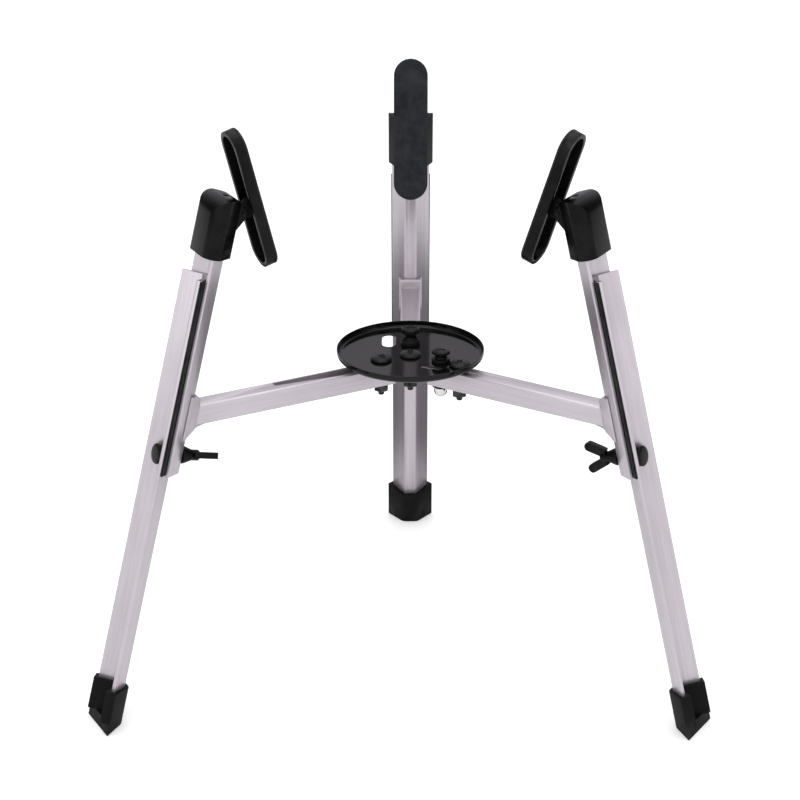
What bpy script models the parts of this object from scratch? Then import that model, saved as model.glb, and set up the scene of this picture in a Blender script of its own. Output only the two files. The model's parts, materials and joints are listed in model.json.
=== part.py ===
"""Folding instrument stand: three leaning telescopic legs, three square arms, a round tray, three pads.

Metres, +Z up, feet on z = 0.  Each leg is built in its own frame: X outward (s), Y tangential (t),
Z up along the leg (u).
"""
import bpy
import bmesh
from math import atan2, cos, pi, radians, sin, tan
from mathutils import Matrix, Vector

GAP = 0.0003                     # clearance between touching pieces
FIT = 0.0002                     # radial play of a pin or screw in its hole

# ---- layout -------------------------------------------------------------------------------------
HUB_X = 0.01098                  # tray centre, from the middle of the stand's footprint
HUB_Y = -0.06175
LEG_LEAN = radians(14.38)        # legs lean in towards the hub
FOOT_RADIUS = 0.2982             # where a leg's inner face meets the floor, before its arm's reach
TRAY_R = 0.0750
LEFT_PIVOT_R = 0.0335            # arm pivots, from the tray's middle
RIGHT_PIVOT_R = TRAY_R - 0.017   # as close to the rim as the screw's head allows
# name: azimuth, extra reach, radius of the arm's pivot, radius of the arm's inner end, pad lean
SIDES = {
    "rear": (radians(90.0), 0.0, 0.0, -0.013, radians(14.5)),
    "left": (radians(208.2), 0.0405, LEFT_PIVOT_R, LEFT_PIVOT_R - 0.0115, radians(14.5)),
    "right": (radians(329.0), 0.0237, RIGHT_PIVOT_R, RIGHT_PIVOT_R - 0.032, radians(18.5)),
}

# ---- leg channels -------------------------------------------------------------------------------
WEB_HALF = 0.0065
TIP_OUT = 0.0175
TIP_HALF = 0.0200
WALL = 0.0036
BEND = 0.0030                    # outside bend radius
TIP_EDGE = 0.0004
NEST = 0.0097                    # post web stands this far inside the lower leg's web
LEG_FOOT = 0.0080
LEG_TOP = 0.4750
POST_FOOT = 0.2730
POST_TOP = 0.5440
LINER_TRIM = 0.0010
CLAMP_U = 0.2905
CLAMP_R = 0.0030
SLOT_LOW = 0.2745
SLOT_HIGH = 0.4445
SLOT_WIDTH = 0.0066

# ---- arms, tray ---------------------------------------------------------------------------------
ARM = 0.0205
ARM_WALL = 0.0020
ARM_CORNER = 0.0017
ARM_TOP = 0.3313
SADDLE_T = 0.0048
SADDLE_HALF = 0.0124
SADDLE_LIP = 0.0090
SADDLE_TONGUE = 0.0088           # half width of the web under the arm
SADDLE_FILLET = 0.0110
TRAY_H = 0.0080
TRAY_SHEET = 0.0012
TRAY_CORNER = 0.0035
TRAY_TOP = 0.3426
SPACER_R = 0.0090
SCREW_R = 0.0030
PIVOT_HEAD_R = 0.0110
PIVOT_HEAD_H = 0.0048
NUT_R = 0.0078
NUT_H = 0.0060
SCREW_TAIL = 0.0125              # screw end below the arm
CENTRE_BOLT_R = -0.004           # radii along the rear arm
REAR_KNOB_R = 0.028
LOCK_R = RIGHT_PIVOT_R - 0.022   # radius of the lock screw on the right arm
FREE_SLOT_IN = 0.050             # long slot in the left arm's top
FREE_SLOT_OUT = 0.152

# ---- cap, pad, boot -----------------------------------------------------------------------------
CAP_LOW = 0.497
CAP_HIGH = 0.556
CAP_OUT = 0.0275                 # from the post's web
CAP_IN = 0.0050
CAP_HALF = 0.0233
CAP_SIDE = 0.0155                # length of its parallel sides
CAP_NOSE = 0.0100
PIN_IN = 0.0100                  # pad pin, inside the post's web
PIN_U = 0.5416
PIN_R = 0.0020
PIN_LEN = 0.0190
KNUCKLE_R = 0.0045
KNUCKLE_HALF = 0.0047
LUG_T = 0.0034
PAD_LEN = 0.1454
PAD_W = 0.0350
PAD_FACE = 0.0190                # contact face, from the pin
PAD_RISE = 0.0090                # middle of the pad, above the pin
PAD_RUBBER = 0.0023
PAD_PLATE = 0.0024
PAD_SHELL = 0.0094
PAD_RIM = 0.0045
BOOT_WALL = 0.0040
BOOT_TOP = 0.0410

ARM_BOTTOM = ARM_TOP - ARM
TRAY_UNDER = TRAY_TOP - TRAY_H
TRAY_FLOOR = TRAY_UNDER + TRAY_SHEET

for old in list(bpy.data.objects):
    bpy.data.objects.remove(old, do_unlink=True)

PARTS = bpy.data.collections.new("instrument_stand")
CUTTERS = bpy.data.collections.new("cutters")
bpy.context.scene.collection.children.link(PARTS)
bpy.context.scene.collection.children.link(CUTTERS)

COLOURS = {
    "aluminium": ((0.62, 0.57, 0.60), 0.32, 1.0),
    "black_plastic": ((0.012, 0.012, 0.013), 0.42, 0.0),
    "black_gloss": ((0.008, 0.008, 0.009), 0.12, 0.0),
    "black_rubber": ((0.014, 0.014, 0.014), 0.65, 0.0),
    "grey_rubber": ((0.035, 0.038, 0.043), 0.75, 0.0),
    "black_steel": ((0.015, 0.015, 0.016), 0.35, 0.6),
    "bright_steel": ((0.75, 0.75, 0.75), 0.15, 1.0),
}


def paint(obj, kind):
    """Give the object its own material."""
    colour, rough, metal = COLOURS[kind]
    mat = bpy.data.materials.new(obj.name)
    mat.use_nodes = True
    shader = mat.node_tree.nodes["Principled BSDF"]
    shader.inputs["Base Color"].default_value = (*colour, 1.0)
    shader.inputs["Roughness"].default_value = rough
    shader.inputs["Metallic"].default_value = metal
    obj.data.materials.clear()
    obj.data.materials.append(mat)
    return obj


def place(obj, parent, matrix=None):
    """Hang the object on its parent empty."""
    obj.parent = parent
    obj.matrix_basis = matrix or Matrix.Identity(4)
    return obj


def empty(name, parent, matrix):
    obj = bpy.data.objects.new(name, None)
    bpy.context.scene.collection.objects.link(obj)
    return place(obj, parent, matrix)


def rounded(points, radius, steps=3):
    """Outline with its corners turned into arcs; radius is one value or one for each corner."""
    result = []
    count = len(points)
    radii = radius if isinstance(radius, (list, tuple)) else [radius] * count
    for i, (point, rad) in enumerate(zip(points, radii)):
        here = Vector(point)
        if rad <= 0:
            result.append(here)
            continue
        back = (Vector(points[i - 1]) - here).normalized()
        ahead = (Vector(points[(i + 1) % count]) - here).normalized()
        half = back.angle(ahead) / 2
        centre = here + (back + ahead).normalized() * rad / sin(half)
        first = here + back * rad / tan(half) - centre
        last = here + ahead * rad / tan(half) - centre
        turn = first.angle_signed(last)
        for k in range(steps + 1):
            angle = -turn * k / steps
            result.append(centre + Matrix.Rotation(angle, 2) @ first)
    return result


def arc(centre, radius, start, end, steps):
    """Points on an arc; the angles are in radians."""
    return [Vector((centre[0] + radius * cos(start + (end - start) * k / steps),
                    centre[1] + radius * sin(start + (end - start) * k / steps)))
            for k in range(steps + 1)]


def stadium(length, width, steps=8, centre=(0.0, 0.0)):
    """Long round-ended outline along Y."""
    reach = (length - width) / 2
    top = arc((centre[0], centre[1] + reach), width / 2, 0, pi, steps)
    bottom = arc((centre[0], centre[1] - reach), width / 2, pi, 2 * pi, steps)
    return top + bottom


def slab(name, loops, low, high, cutter=False):
    """Solid between z = low and z = high with the given flat outlines (the later ones are holes)."""
    curve = bpy.data.curves.new(name, "CURVE")
    curve.dimensions = "2D"
    curve.fill_mode = "BOTH"
    curve.extrude = (high - low) / 2
    for loop in loops:
        spline = curve.splines.new("POLY")
        spline.points.add(len(loop) - 1)
        for point, target in zip(loop, spline.points):
            target.co = (point[0], point[1], 0.0, 1.0)
        spline.use_cyclic_u = True
    shape = bpy.data.objects.new(name + "_curve", curve)
    bpy.context.scene.collection.objects.link(shape)
    shape.location.z = (high + low) / 2
    bpy.context.view_layer.update()
    evaluated = shape.evaluated_get(bpy.context.evaluated_depsgraph_get())
    mesh = bpy.data.meshes.new_from_object(evaluated)
    mesh.name = name
    mesh.transform(shape.matrix_world)
    bpy.data.objects.remove(shape, do_unlink=True)
    bpy.data.curves.remove(curve)
    return solid(name, mesh, cutter)


def solid(name, mesh, cutter=False):
    """Weld a closed mesh and make it an object."""
    work = bmesh.new()
    work.from_mesh(mesh)
    bmesh.ops.remove_doubles(work, verts=work.verts, dist=0.000002)
    bmesh.ops.recalc_face_normals(work, faces=work.faces)
    work.to_mesh(mesh)
    work.free()
    obj = bpy.data.objects.new(name, mesh)
    (CUTTERS if cutter else PARTS).objects.link(obj)
    if cutter:
        obj.hide_render = True
        obj.display_type = "WIRE"
    return obj


def turned(name, profile, steps=24, ring=False, cutter=False):
    """Profile at +X, running down its outer side, turned about Z."""
    mesh = bpy.data.meshes.new(name)
    verts = [(r, 0.0, z) for r, z in profile]
    edges = [(i, i + 1) for i in range(len(profile) - 1)]
    if ring:
        edges.append((len(profile) - 1, 0))
    mesh.from_pydata(verts, edges, [])
    obj = bpy.data.objects.new(name, mesh)
    (CUTTERS if cutter else PARTS).objects.link(obj)
    if cutter:
        obj.hide_render = True
        obj.display_type = "WIRE"
    screw = obj.modifiers.new("turn", "SCREW")
    screw.steps = steps
    screw.render_steps = steps
    screw.use_merge_vertices = True
    screw.merge_threshold = 0.00001
    screw.use_smooth_shade = True
    return obj


def rod(name, radius, low, high, steps=24, cutter=False, chamfer=0.0):
    profile = [(0.0, high), (radius - chamfer, high), (radius, high - chamfer)]
    profile += [(radius, low + chamfer), (radius - chamfer, low), (0.0, low)]
    if chamfer == 0:
        profile = [(0.0, high), (radius, high), (radius, low), (0.0, low)]
    return turned(name, profile, steps, cutter=cutter)


def combine(obj, other, operation="DIFFERENCE"):
    boolean = obj.modifiers.new(operation.lower(), "BOOLEAN")
    boolean.operation = operation
    boolean.object = other
    boolean.solver = "EXACT"
    return obj


def soften(obj, width, segments=1, angle=40):
    bevel = obj.modifiers.new("soften", "BEVEL")
    bevel.width = width
    bevel.segments = segments
    bevel.limit_method = "ANGLE"
    bevel.angle_limit = radians(angle)
    return obj


def turn(axis, angle):
    return Matrix.Rotation(angle, 4, axis)


def move(x, y, z):
    return Matrix.Translation((x, y, z))


# A slab is drawn in its own XY plane.  These put that plane elsewhere.
SIDEWAYS = Matrix(((1, 0, 0, 0), (0, 0, -1, 0), (0, 1, 0, 0), (0, 0, 0, 1)))    # x, y -> x, z
ALONG_X = Matrix(((0, 0, 1, 0), (1, 0, 0, 0), (0, 1, 0, 0), (0, 0, 0, 1)))      # x, y -> y, z


def channel(outer, inner, outer_reach=0.0, inner_reach=0.0, shift=0.0, inner_shift=None):
    """Outline of a channel open towards +X, between two depths inside its outer face."""
    run = Vector((TIP_OUT, TIP_HALF - WEB_HALF))
    length = run.length
    run.normalize()
    normal = Vector((run.y, -run.x))

    def half(depth, reach, offset):
        corner_y = WEB_HALF - depth * run.x + depth * (1 - run.y) * run.y / run.x
        tip = Vector((0, WEB_HALF)) + depth * normal + (length + reach) * run
        return Vector((depth + offset, corner_y)), tip + Vector((offset, 0))

    far = shift if inner_shift is None else inner_shift
    corner, tip = half(outer, outer_reach, shift)
    corner_in, tip_in = half(inner, inner_reach, far)
    points = [(tip.x, -tip.y), (corner.x, -corner.y), corner, tip]
    points += [tip_in, corner_in, (corner_in.x, -corner_in.y), (tip_in.x, -tip_in.y)]
    big = max(BEND - outer, TIP_EDGE)
    small = max(BEND - inner, TIP_EDGE)
    return rounded(points, [TIP_EDGE, big, big, TIP_EDGE, TIP_EDGE, small, small, TIP_EDGE], 3)


def make_lower_leg(side, leg):
    obj = slab(side + "_lower_leg", [channel(0, WALL)], LEG_FOOT, LEG_TOP)
    slot = slab("slot_" + side, [stadium(SLOT_HIGH - SLOT_LOW, SLOT_WIDTH, 5)], -0.01, 0.02, cutter=True)
    place(slot, leg, move(0, 0, (SLOT_LOW + SLOT_HIGH) / 2) @ ALONG_X)
    combine(obj, slot)
    place(obj, leg)
    paint(obj, "aluminium")


def make_post(side, leg, hole):
    obj = slab(side + "_post", [channel(0, WALL, shift=-NEST)], POST_FOOT, POST_TOP)
    combine(obj, hole)
    place(obj, leg)
    paint(obj, "aluminium")


def make_liner(side, leg, hole):
    """Black strip that fills the space between the nested channels."""
    lean = TIP_OUT / Vector((TIP_OUT, TIP_HALF - WEB_HALF)).length
    outline = channel(WALL + GAP, -GAP, NEST * lean - LINER_TRIM, -LINER_TRIM, -NEST, 0.0)
    obj = slab(side + "_glide_liner", [outline], POST_FOOT + 0.001, LEG_TOP - 0.001)
    combine(obj, hole)
    place(obj, leg)
    paint(obj, "black_plastic")


def make_boot(side, leg):
    reach = BOOT_WALL
    shoe = channel(-BOOT_WALL, WALL + BOOT_WALL, reach, reach)
    half = len(shoe) // 2
    obj = slab(side + "_boot", [shoe], LEG_FOOT - 0.001, BOOT_TOP)
    sole = slab("sole_" + side, [shoe[:half]], -0.02, LEG_FOOT - GAP, cutter=True)
    pocket = slab("pocket_" + side, [channel(-GAP, WALL + GAP, GAP, GAP)],
                  LEG_FOOT - GAP, BOOT_TOP + 0.01, cutter=True)
    place(sole, leg)
    place(pocket, leg)
    combine(obj, sole, "UNION")
    combine(obj, pocket)
    floor = slab("floor_" + side, [[(-0.1, -0.1), (0.1, -0.1), (0.1, 0.1), (-0.1, 0.1)]],
                 -0.05, 0.0, cutter=True)
    place(floor, leg, turn("Y", LEG_LEAN))
    combine(obj, floor)
    place(obj, leg)
    paint(obj, "black_rubber")


def make_saddle(side, leg):
    """Bracket welded to the arm's end and hugging the post's outer faces."""
    face = -NEST - SADDLE_T
    slope = (TIP_HALF - WEB_HALF) / TIP_OUT
    lean = Vector((TIP_OUT, TIP_HALF - WEB_HALF)).normalized()
    edge_in = -NEST + (SADDLE_HALF - WEB_HALF) / slope - GAP / lean.y
    corner_y = WEB_HALF + GAP * lean.x - GAP * (1 - lean.y) * lean.y / lean.x
    half = [(face - SADDLE_FILLET, SADDLE_TONGUE), (face, SADDLE_TONGUE), (face, SADDLE_HALF - 0.0018)]
    half += [(edge_in - 0.0030, SADDLE_HALF), (edge_in, SADDLE_HALF), (-NEST - GAP, corner_y)]
    mirrored = [(x, -y) for x, y in half[::-1]]
    radii = [0, 0.0012, 0.0014, 0.0014, 0.0003, 0, 0, 0.0003, 0.0014, 0.0014, 0.0012, 0]
    arm_u = (ARM_TOP - face * sin(LEG_LEAN)) / cos(LEG_LEAN)
    under_u = (ARM_BOTTOM - GAP - face * sin(LEG_LEAN)) / cos(LEG_LEAN)
    low = under_u - SADDLE_FILLET - 0.004
    high = arm_u + SADDLE_LIP
    obj = slab(side + "_arm_saddle", [rounded(half + mirrored, radii, 2)], low, high)
    # side view: a hollow curve from under the arm down to the post, and a rounded lip on top
    reach = SADDLE_FILLET - 0.0004
    tip = Vector((face - reach * cos(LEG_LEAN), under_u + reach * sin(LEG_LEAN)))
    foot = Vector((-NEST + 0.004, low + 0.0005))
    knee = Vector((face + 0.0004, under_u - 0.0012))
    curve = [foot * (1 - k) ** 2 + knee * 2 * k * (1 - k) + tip * k ** 2 for k in [i / 8 for i in range(9)]]
    ledge = [Vector((face - 0.00005, under_u)), Vector((face - 0.00005, high - 0.003))]
    crown = [Vector((face + 0.0006, high - 0.0011)), Vector((face + 0.0022, high - 0.0001))]
    back = [Vector((0.02, high - 0.0001)), Vector((0.02, low + 0.0005))]
    profile = slab("saddle_side_" + side, [curve + ledge + crown + back], -0.03, 0.03, cutter=True)
    place(profile, leg, SIDEWAYS)
    combine(obj, profile, "INTERSECT")
    place(obj, leg)
    paint(obj, "aluminium")


def make_arm(side, arm, leg, pivot, inner, holes):
    """Square tube from the hub to the saddle; its outer end follows the leg's slope."""
    outer_half = ARM / 2
    inner_half = outer_half - ARM_WALL
    square = [(outer_half, outer_half), (-outer_half, outer_half)]
    square += [(-outer_half, -outer_half), (outer_half, -outer_half)]
    bore = [(inner_half, inner_half), (-inner_half, inner_half)]
    bore += [(-inner_half, -inner_half), (inner_half, -inner_half)]
    obj = slab(side + "_arm", [rounded(square, ARM_CORNER, 3), rounded(bore, 0.0007, 1)],
               inner - pivot, FOOT_RADIUS + SIDES[side][1] - pivot)
    place(obj, arm, move(0, 0, ARM_TOP - outer_half) @ ALONG_X)
    wedge = slab("wedge_" + side, [[(0, -0.05), (0.2, -0.05), (0.2, 0.05), (0, 0.05)]],
                 0.05, 0.6, cutter=True)
    place(wedge, leg, move(-NEST - SADDLE_T - GAP, 0, 0))
    combine(obj, wedge)
    for hole in holes:
        combine(obj, hole)
    paint(obj, "aluminium")


def make_cap(side, leg):
    """Moulded end cap with the two lugs that carry the pad's pin."""
    web = -NEST
    plan = [(web + CAP_OUT, -CAP_HALF), (web + CAP_OUT, CAP_HALF), (web + CAP_OUT - CAP_SIDE, CAP_HALF)]
    plan += [(web - CAP_IN, CAP_NOSE), (web - CAP_IN, -CAP_NOSE), (web + CAP_OUT - CAP_SIDE, -CAP_HALF)]
    obj = slab(side + "_post_cap", [rounded(plan, [0.011, 0.011, 0.004, 0.003, 0.003, 0.004], 5)],
               CAP_LOW, CAP_HIGH)
    side_view = [(web - CAP_IN - 0.01, CAP_LOW - 0.01), (web + CAP_OUT + 0.0001, CAP_LOW - 0.01)]
    side_view += [(web + CAP_OUT + 0.0001, CAP_HIGH - 0.0001), (web - CAP_IN - 0.0001, CAP_HIGH - 0.0001)]
    side_view += [(web - CAP_IN - 0.0001, CAP_LOW)]
    shaped = rounded(side_view, [0, 0, 0.0165, 0.009, 0], 7)
    outline = slab("cap_side_" + side, [shaped], -0.05, 0.05, cutter=True)
    place(outline, leg, SIDEWAYS)
    combine(obj, outline, "INTERSECT")
    pin_x = web - PIN_IN
    lug_r = KNUCKLE_R + 0.001
    lug = [Vector((web - CAP_IN + 0.003, PIN_U - 0.0225)), Vector((web - CAP_IN + 0.003, PIN_U + 0.009))]
    lug += arc((pin_x, PIN_U), lug_r, pi * 0.5, pi * 1.28, 7)
    for sign in (-1, 1):
        near = KNUCKLE_HALF + GAP
        ends = sorted((sign * near, sign * (near + LUG_T)))
        piece = slab("lug_%s_%d" % (side, sign), [lug], ends[0], ends[1], cutter=True)
        place(piece, leg, SIDEWAYS)
        combine(obj, piece, "UNION")
    pocket = slab("cap_pocket_" + side, [channel(-GAP, WALL + GAP, GAP, GAP, -NEST)],
                  CAP_LOW - 0.01, POST_TOP + GAP, cutter=True)
    place(pocket, leg)
    combine(obj, pocket)
    bore = rod("cap_bore_" + side, PIN_R + FIT, -0.03, 0.03, 16, cutter=True)
    place(bore, leg, move(pin_x, 0, PIN_U) @ turn("X", pi / 2))
    combine(obj, bore)
    dimple = rod("dimple_" + side, 0.0032, 0.0, 0.02, 12, cutter=True)
    place(dimple, leg, move(web + 0.0085, 0, CAP_HIGH - 0.0022))
    combine(obj, dimple)
    place(obj, leg)
    paint(obj, "black_plastic")


def make_pad(side, axis):
    """Stadium shell with a hollow back, a knuckle on its pin and a rubber contact sheet."""
    shell_face = -PAD_FACE + PAD_RUBBER + GAP
    shell_back = shell_face + PAD_SHELL
    middle = (0.0, PAD_RISE)
    obj = slab(side + "_pad_shell", [stadium(PAD_LEN, PAD_W, 10, middle)], shell_face, shell_back)
    hollow = slab("hollow_" + side, [stadium(PAD_LEN - 2 * PAD_RIM, PAD_W - 2 * PAD_RIM, 10, middle)],
                  shell_face + PAD_PLATE, 0.01, cutter=True)
    place(hollow, axis)
    combine(obj, hollow)
    plate = shell_face + PAD_PLATE / 2
    knuckle = [Vector((plate, 0.0125)), Vector((plate, -0.0125))]
    knuckle += arc((0, 0), KNUCKLE_R, -pi * 0.42, pi * 0.42, 8)
    block = slab("knuckle_" + side, [knuckle], -KNUCKLE_HALF, KNUCKLE_HALF, cutter=True)
    place(block, axis, Matrix(((0, 0, 1, 0), (0, 1, 0, 0), (1, 0, 0, 0), (0, 0, 0, 1))))
    combine(obj, block, "UNION")
    bore = rod("knuckle_bore_" + side, PIN_R + FIT, -0.03, 0.03, 16, cutter=True)
    place(bore, axis, turn("Y", pi / 2))
    combine(obj, bore)
    place(obj, axis)
    paint(obj, "black_plastic")
    rubber = slab(side + "_pad_rubber", [stadium(PAD_LEN, PAD_W, 12, middle)], -PAD_FACE,
                  -PAD_FACE + PAD_RUBBER)
    place(rubber, axis)
    paint(rubber, "grey_rubber")
    pin = rod(side + "_pad_pin", PIN_R, -PIN_LEN / 2, PIN_LEN / 2, 16, chamfer=0.0004)
    place(pin, axis, turn("Y", pi / 2))
    paint(pin, "black_steel")


def make_clamp(side, axis):
    """Clamp screw, its turned head in the lower leg and its wing nut; Z points at the hub."""
    bolt = rod(side + "_clamp_bolt", CLAMP_R, -WALL - 0.0044, 0.026, 20, chamfer=0.0004)
    place(bolt, axis)
    paint(bolt, "black_steel")
    bore_r = CLAMP_R + FIT
    seat = -WALL - GAP
    slope = (TIP_HALF - WEB_HALF) / TIP_OUT
    spread = Vector((TIP_OUT, TIP_HALF - WEB_HALF)).normalized().x
    disc = WEB_HALF + (WALL + 0.0083) * slope - WALL / spread - 0.0008
    head = [(0.0, seat - 0.0044), (bore_r, seat - 0.0044), (bore_r, seat), (bore_r + 0.0011, seat)]
    head += [(bore_r + 0.0011, seat - 0.0011), (disc - 0.0003, seat - 0.0073), (disc, seat - 0.0081)]
    head += [(disc, seat - 0.0119), (disc - 0.0008, seat - 0.0129), (disc * 0.5, seat - 0.0133)]
    head += [(0.0, seat - 0.0133)]
    saddle = turned(side + "_clamp_saddle", head, 24)
    place(saddle, axis)
    paint(saddle, "black_plastic")
    base = NEST + GAP
    hub = [(0.0, base + 0.0200), (0.0048, base + 0.0200), (0.0055, base + 0.0190), (0.0055, base + 0.0120)]
    hub += [(0.0090, base + 0.0030), (0.0090, base + 0.0004), (0.0086, base), (0.0, base)]
    nut = turned(side + "_wing_nut", hub, 20)
    lean = atan2(0.0085, 0.0185)
    for sign in (-1, 1):
        bar = [(-0.0044, 0.0), (0.0044, 0.0), (0.0046, 0.0225), (-0.0046, 0.0225)]
        wing = slab("wing_%s_%d" % (side, sign), [rounded(bar, [0, 0, 0.0042, 0.0042], 4)],
                    -0.0033, 0.0033, cutter=True)
        soften(wing, 0.0012, 1, 50)
        place(wing, axis, move(sign * 0.0038, 0, base + 0.0150) @ turn("Y", sign * lean) @ SIDEWAYS)
        wing.matrix_basis = turn("Z", NUT_TURN[side]) @ wing.matrix_basis
        combine(nut, wing, "UNION")
    bore = rod("nut_bore_" + side, bore_r, base - 0.01, 0.0263, 16, cutter=True)
    place(bore, axis)
    combine(nut, bore)
    place(nut, axis)
    paint(nut, "black_plastic")


NUT_TURN = {"rear": radians(20), "left": radians(69), "right": radians(0)}


def make_tray(hub, holes):
    edge = TRAY_R - TRAY_SHEET
    inner = arc((edge - TRAY_CORNER, TRAY_FLOOR + TRAY_CORNER), TRAY_CORNER, -pi / 2, 0, 4)
    outer_r = TRAY_CORNER + TRAY_SHEET
    outer = arc((edge - TRAY_CORNER, TRAY_UNDER + outer_r), outer_r, 0, -pi / 2, 4)
    profile = [(0.0, TRAY_FLOOR)] + [tuple(p) for p in inner]
    profile += [(edge, TRAY_TOP - 0.0004), (edge + 0.0004, TRAY_TOP), (TRAY_R - 0.0004, TRAY_TOP)]
    profile += [(TRAY_R, TRAY_TOP - 0.0004)] + [tuple(p) for p in outer] + [(0.0, TRAY_UNDER)]
    tray = turned("tray", profile, 72)
    for hole in holes:
        combine(tray, hole)
    place(tray, hub)
    paint(tray, "black_gloss")


def drill(name, parent, x, y, radius, low, high):
    hole = rod(name, radius, low, high, 20, cutter=True)
    return place(hole, parent, move(x, y, 0))


def make_fitting(name, parent, radius):
    """Domed pivot screw through the tray, spacer and arm, with its nut."""
    top = TRAY_FLOOR + GAP
    head = [(0.0, top + PIVOT_HEAD_H + 0.0014), (0.0024, top + PIVOT_HEAD_H + 0.0014)]
    head += [(0.0028, top + PIVOT_HEAD_H)]
    head += [(PIVOT_HEAD_R * sin(a), top + PIVOT_HEAD_H * cos(a) ** 0.7) for a in
             [radians(25), radians(45), radians(62), radians(76)]]
    head += [(PIVOT_HEAD_R, top + 0.0010), (PIVOT_HEAD_R - 0.0006, top)]
    tail = ARM_BOTTOM - SCREW_TAIL
    head += [(SCREW_R, top), (SCREW_R, tail + 0.0006), (SCREW_R - 0.0006, tail), (0.0, tail)]
    bolt = turned(name + "_bolt", head, 24)
    place(bolt, parent, move(radius, 0, 0))
    paint(bolt, "black_steel")
    nut_top = ARM_BOTTOM - GAP
    flat = [(NUT_R * cos(k * pi / 3), NUT_R * sin(k * pi / 3)) for k in range(6)]
    nut = slab(name + "_nut", [flat], nut_top - NUT_H - 0.0016, nut_top)
    soften(nut, 0.0008)
    bore = drill(name + "_nut_bore", parent, radius, 0, SCREW_R + FIT, tail - 0.01, ARM_TOP)
    combine(nut, bore)
    place(nut, parent, move(radius, 0, 0))
    paint(nut, "black_steel")


def make_spacer(name, parent, radius):
    low = ARM_TOP + GAP
    high = TRAY_UNDER - GAP
    bore_r = SCREW_R + FIT
    ring = [(bore_r, high), (SPACER_R - 0.0003, high), (SPACER_R, high - 0.0003)]
    ring += [(SPACER_R, low + 0.0003), (SPACER_R - 0.0003, low), (bore_r, low)]
    spacer = turned(name, ring, 24, ring=True)
    place(spacer, parent, move(radius, 0, 0))
    paint(spacer, "black_plastic")


def make_knob(name, parent, radius, big, height, tail):
    """Turned knob with two discs and a waist, on its own screw."""
    low = TRAY_FLOOR + GAP
    high = low + height
    disc = height * 0.26
    profile = [(0.0, high), (big * 0.80, high), (big * 0.95, high - disc * 0.35), (big * 0.95, high - disc)]
    profile += [(big * 0.62, high - disc * 1.35), (big * 0.62, low + disc * 1.35), (big, low + disc)]
    profile += [(big, low + disc * 0.2), (big * 0.92, low), (SCREW_R, low), (SCREW_R, tail), (0.0, tail)]
    knob = turned(name, profile, 28)
    place(knob, parent, move(radius, 0, 0))
    paint(knob, "black_plastic")


def make_lock(parent):
    """Washer and bright acorn nut under the right arm, on the lock knob's screw."""
    place_at = move(LOCK_R, 0, 0)
    top = ARM_BOTTOM - GAP
    bore_r = SCREW_R + FIT
    low = top - 0.0016
    washer = turned("right_lock_washer", [(bore_r, top), (0.0088, top), (0.0088, low), (bore_r, low)], 24, ring=True)
    place(washer, parent, place_at)
    paint(washer, "black_steel")
    head = low - GAP
    radius = 0.00675
    ball = [Vector((0, head - 0.0085)), Vector((bore_r, head - 0.0085)), Vector((bore_r, head))]
    ball += [Vector((0.0056, head)), Vector((radius, head - 0.0012))]
    ball += arc((0, head - 0.0045), radius, 0, -pi / 2, 7)[:-1] + [Vector((0, head - 0.0045 - radius))]
    nut = turned("right_acorn_nut", [tuple(p) for p in ball], 24)
    place(nut, parent, place_at)
    paint(nut, "bright_steel")
    return head - 0.0082


def hook_slot(parent, pivot):
    """Curved way out of the right arm's back wall for the lock screw, about the arm's pivot."""
    reach = pivot - LOCK_R
    width = SCREW_R + 0.0005
    outer = arc((0, 0), reach + width, pi, pi - radians(44), 10)
    inner = arc((0, 0), reach - width, pi - radians(44), pi, 10)
    end = arc((-reach, 0), width, 0, -pi, 6)[1:-1]
    cut = slab("hook_slot", [outer + inner + end], ARM_BOTTOM - 0.01, ARM_TOP + 0.0002, cutter=True)
    return place(cut, parent)


def free_slot(parent, pivot):
    """Long tapered opening in the top wall of the left arm, against its back wall."""
    back = -ARM / 2 + ARM_WALL + 0.0005
    shape = [(FREE_SLOT_IN, back), (FREE_SLOT_OUT, back), (FREE_SLOT_OUT, -0.0005)]
    shape += [(0.090, 0.0065), (FREE_SLOT_IN, 0.0065)]
    outline = rounded([(x - pivot, y) for x, y in shape], [0.001, 0.001, 0.002, 0.01, 0.002], 3)
    cut = slab("free_slot", [outline], ARM_TOP - ARM_WALL - 0.001, ARM_TOP + 0.001, cutter=True)
    return place(cut, parent)


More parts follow.
